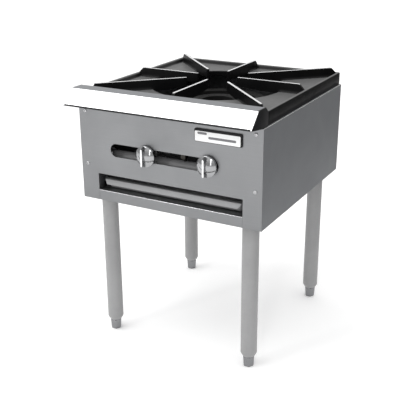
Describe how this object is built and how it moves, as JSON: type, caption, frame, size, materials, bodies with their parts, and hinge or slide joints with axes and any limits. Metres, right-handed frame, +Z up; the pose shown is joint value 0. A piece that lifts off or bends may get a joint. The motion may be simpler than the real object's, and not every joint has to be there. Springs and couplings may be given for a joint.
{
  "type": "stock pot range",
  "caption": "Free-standing gas stock pot range on tubular legs, with a ribbed cast top, front ledge, turning knobs and a sliding drip tray.",
  "frame": {"origin": "middle of the whole box's footprint, at the floor under the feet", "axes": "+Z up, -Y towards the user at the control panel, +X to the user's right"},
  "size_m": [0.4572, 0.55, 0.626],
  "materials": {
    "front_steel": "satin brushed stainless sheet",
    "ledge_steel": "bright brushed stainless sheet",
    "side_steel": "darker satin stainless sheet",
    "plain_steel": "dull aluminised steel",
    "tray_steel": "aluminised steel tray",
    "black_enamel": "black baked enamel",
    "cast_top": "dark cast iron, ground rib tops",
    "burner_iron": "raw cast iron",
    "brass": "turned brass",
    "valve_metal": "die-cast valve body",
    "chrome": "polished chrome plating",
    "pipe_black": "black iron pipe",
    "pilot_aluminium": "soft aluminium tube",
    "badge_white": "blank white enamelled plate",
    "screw_steel": "plated steel screws",
    "leg_steel": "grey painted steel tube",
    "foot_metal": "dull die-cast metal"
  },
  "bodies": {
    "cabinet": {"front_panel": "front_steel", "front_bottom_rail": "front_steel", "front_ledge": "ledge_steel", "left_side_panel": "side_steel", "right_side_panel": "side_steel", "rear_panel": "plain_steel", "left_leg_channel": "plain_steel", "right_leg_channel": "plain_steel", "bottom_pan": "plain_steel", "left_ledge_end_cap": "black_enamel", "right_ledge_end_cap": "black_enamel", "left_ledge_gusset": "plain_steel", "right_ledge_gusset": "plain_steel", "control_shield": "plain_steel", "front_burner_crossbar": "plain_steel", "rear_burner_crossbar": "plain_steel", "outer_ring_burner": "burner_iron", "inner_ring_burner": "burner_iron", "left_orifice_hood": "brass", "right_orifice_hood": "brass", "left_gas_valve": "valve_metal", "right_gas_valve": "valve_metal", "manifold_pipe": "pipe_black", "manifold_cap": "pipe_black", "supply_elbow": "pipe_black", "supply_pipe": "pipe_black", "rear_gas_inlet": "pipe_black", "left_manifold_saddle": "plain_steel", "right_manifold_saddle": "plain_steel", "pilot_valve": "brass", "pilot_tube": "pilot_aluminium", "pilot_burner": "plain_steel", "pilot_bracket": "plain_steel", "left_tray_guide": "plain_steel", "right_tray_guide": "plain_steel", "badge_plate": "badge_white", "badge_studs": "plain_steel", "front_panel_screws": "screw_steel", "rear_panel_screws": "screw_steel", "leg_bolts": "screw_steel", "front_left_leg": "leg_steel", "front_right_leg": "leg_steel", "rear_left_leg": "leg_steel", "rear_right_leg": "leg_steel"},
    "cast_top": {"top_grate": "cast_top"},
    "left_knob": {"left_burner_knob": "chrome", "left_valve_spindle": "brass"},
    "right_knob": {"right_burner_knob": "chrome", "right_valve_spindle": "brass"},
    "left_shutter": {"left_air_shutter": "plain_steel"},
    "right_shutter": {"right_air_shutter": "plain_steel"},
    "tray": {"drip_tray": "tray_steel"},
    "front_left_foot_screw": {"front_left_foot": "foot_metal"},
    "front_right_foot_screw": {"front_right_foot": "foot_metal"},
    "rear_left_foot_screw": {"rear_left_foot": "foot_metal"},
    "rear_right_foot_screw": {"rear_right_foot": "foot_metal"}
  },
  "joints": [
    {"name": "left_knob_turn", "type": "hinge", "parent": "cabinet", "child": "left_knob", "pos_m": [-0.0508, -0.2166, 0.487], "axis": [0, -1, 0], "range_deg": [0, 90]},
    {"name": "left_shutter_turn", "type": "hinge", "parent": "cabinet", "child": "left_shutter", "pos_m": [-0.0508, -0.1316, 0.487], "axis": [0, -1, 0], "range_deg": [0, 60]},
    {"name": "right_knob_turn", "type": "hinge", "parent": "cabinet", "child": "right_knob", "pos_m": [0.1016, -0.2166, 0.487], "axis": [0, -1, 0], "range_deg": [0, 90]},
    {"name": "right_shutter_turn", "type": "hinge", "parent": "cabinet", "child": "right_shutter", "pos_m": [0.1016, -0.1316, 0.487], "axis": [0, -1, 0], "range_deg": [0, 60]},
    {"name": "tray_slide", "type": "slide", "parent": "cabinet", "child": "tray", "axis": [0, -1, 0], "range_m": [0, 0.36]},
    {"name": "top_lift", "type": "slide", "parent": "cabinet", "child": "cast_top", "axis": [0, 0, 1], "range_m": [0, 0.15]},
    {"name": "front_left_foot_level", "type": "slide", "parent": "cabinet", "child": "front_left_foot_screw", "axis": [0, 0, -1], "range_m": [0, 0.025]},
    {"name": "front_right_foot_level", "type": "slide", "parent": "cabinet", "child": "front_right_foot_screw", "axis": [0, 0, -1], "range_m": [0, 0.025]},
    {"name": "rear_left_foot_level", "type": "slide", "parent": "cabinet", "child": "rear_left_foot_screw", "axis": [0, 0, -1], "range_m": [0, 0.025]},
    {"name": "rear_right_foot_level", "type": "slide", "parent": "cabinet", "child": "rear_right_foot_screw", "axis": [0, 0, -1], "range_m": [0, 0.025]}
  ]
}
